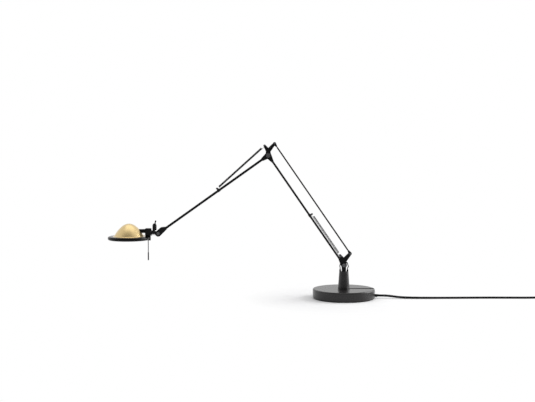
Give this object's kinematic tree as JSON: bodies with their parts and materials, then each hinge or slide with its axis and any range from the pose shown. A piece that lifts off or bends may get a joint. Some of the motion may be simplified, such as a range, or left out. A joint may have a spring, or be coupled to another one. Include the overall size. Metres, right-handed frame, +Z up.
{
  "type": "desk lamp",
  "caption": "Desk lamp on a weighted round base: swivelling stem, spring balanced arms with a parallel tie rod, and a small domed halogen head with a rim, a lever switch and a pull rod.",
  "frame": {"origin": "centre of the base's foot, where the lamp stands", "axes": "+Z up along the stem; the arms lean towards -X in the XZ plane and the mains cord leaves towards +X; the springs and the front of the lamp face -Y"},
  "size_m": [1.2982, 0.205, 0.4223],
  "materials": {
    "base_paint": "fine textured dark grey powder coat",
    "pad_rubber": "matt",
    "plate_steel": "zinc plated",
    "bush_plastic": "natural",
    "transformer_case": "potted, matt",
    "cord_black": "smooth, low sheen",
    "tie_strap": "woven strap",
    "plug_black": "moulded",
    "contact_brass": "nickel over brass",
    "stem_paint": "satin",
    "yoke_paint": "satin",
    "arm_paint": "satin",
    "pin_steel": "blackened edges",
    "lead_black": "smooth",
    "spring_steel": "drawn wire",
    "fitting_plastic": "semi-gloss",
    "axle_metal": "satin",
    "ring_black": "gloss",
    "retainer_black": "matt",
    "glass_clear": "clear",
    "reflector_aluminium": "polished",
    "dome_brass": "satin lacquered",
    "ceramic_white": "matt",
    "filament_metal": "drawn",
    "handle_chrome": "polished"
  },
  "bodies": {
    "root": {"base_casting": "base_paint", "base_pad": "pad_rubber", "base_plate": "plate_steel", "plate_screws": "plate_steel", "swivel_bush": "bush_plastic", "transformer": "transformer_case", "inner_lead": "lead_black", "cord_gland": "cord_black", "cord_run": "cord_black", "cord_coil": "cord_black", "cord_tail": "cord_black", "cord_tie": "tie_strap", "plug_body": "plug_black", "plug_pins": "contact_brass"},
    "stem_body": {"stem": "stem_paint", "spigot": "plate_steel", "spigot_nut": "plate_steel", "lower_yoke": "yoke_paint", "lower_pivot_pin": "pin_steel", "tie_rod_pin_lower": "pin_steel", "spring_stud_lower": "pin_steel", "lead_bushes": "lead_black", "jumper_leads": "lead_black", "lower_spring": "spring_steel"},
    "lower_arm": {"lower_arm_foot": "fitting_plastic", "lower_arm_tube": "arm_paint", "lower_arm_head": "fitting_plastic", "lower_spring_clip": "fitting_plastic"},
    "tie_rod_body": {"tie_rod": "arm_paint", "tie_rod_eyes": "arm_paint"},
    "elbow": {"elbow_cheek_front": "yoke_paint", "elbow_cheek_rear": "yoke_paint", "elbow_washers": "pin_steel", "elbow_pin": "pin_steel", "elbow_spacer": "pin_steel", "tie_rod_pin_upper": "pin_steel", "spring_stud_upper": "pin_steel", "upper_spring": "spring_steel"},
    "upper_arm": {"upper_arm_root": "fitting_plastic", "upper_arm_tube": "arm_paint", "upper_arm_tip": "fitting_plastic", "tilt_screw": "pin_steel", "upper_spring_clip": "fitting_plastic"},
    "head_joint": {"tilt_eye": "fitting_plastic", "roll_axle": "axle_metal", "roll_washer": "fitting_plastic", "switch_body": "fitting_plastic"},
    "lever": {"switch_lever": "fitting_plastic"},
    "head": {"shade_ring": "ring_black", "glass_retainer": "retainer_black", "lens_glass": "glass_clear", "reflector": "reflector_aluminium", "dome": "dome_brass", "head_block": "fitting_plastic", "holder_arm": "fitting_plastic", "lamp_holder": "ceramic_white", "bulb_glass": "glass_clear", "bulb_filament": "filament_metal", "handle_rod": "handle_chrome", "handle_grip": "lead_black"}
  },
  "joints": [
    {"name": "base_swivel", "type": "hinge", "parent": "root", "child": "stem_body", "pos_m": [0, 0, 0.02635], "axis": [0, 0, 1], "range_deg": [-165, 165]},
    {"name": "lower_arm_tilt", "type": "hinge", "parent": "stem_body", "child": "lower_arm", "pos_m": [0, 0, 0.09], "axis": [0, -1, 0], "range_deg": [-28, 22], "deforming": ["lower_spring"]},
    {"name": "tie_rod_tilt", "type": "hinge", "parent": "stem_body", "child": "tie_rod_body", "pos_m": [0.017, 0, 0.1214], "axis": [0, -1, 0], "range_deg": [-28, 22]},
    {"name": "elbow_level", "type": "hinge", "parent": "lower_arm", "child": "elbow", "pos_m": [-0.20471, 0, 0.38674], "axis": [0, -1, 0], "range_deg": [-22, 28]},
    {"name": "upper_arm_tilt", "type": "hinge", "parent": "elbow", "child": "upper_arm", "pos_m": [-0.20471, 0, 0.38674], "axis": [0, 1, 0], "range_deg": [-18, 60], "deforming": ["upper_spring"]},
    {"name": "head_tilt", "type": "hinge", "parent": "upper_arm", "child": "head_joint", "pos_m": [-0.50141, 0, 0.17588], "axis": [0, -1, 0], "range_deg": [-15, 60]},
    {"name": "head_roll", "type": "hinge", "parent": "head_joint", "child": "head", "pos_m": [-0.52641, 0, 0.17388], "axis": [1, 0, 0], "range_deg": [-60, 60]},
    {"name": "switch_toggle", "type": "hinge", "parent": "head_joint", "child": "lever", "pos_m": [-0.51161, 0, 0.19838], "axis": [0, -1, 0], "range_deg": [0, 30]}
  ],
  "couplings": [
    {"joint": "tie_rod_tilt", "follows": "lower_arm_tilt", "ratio": 1},
    {"joint": "elbow_level", "follows": "lower_arm_tilt", "ratio": -1}
  ]
}
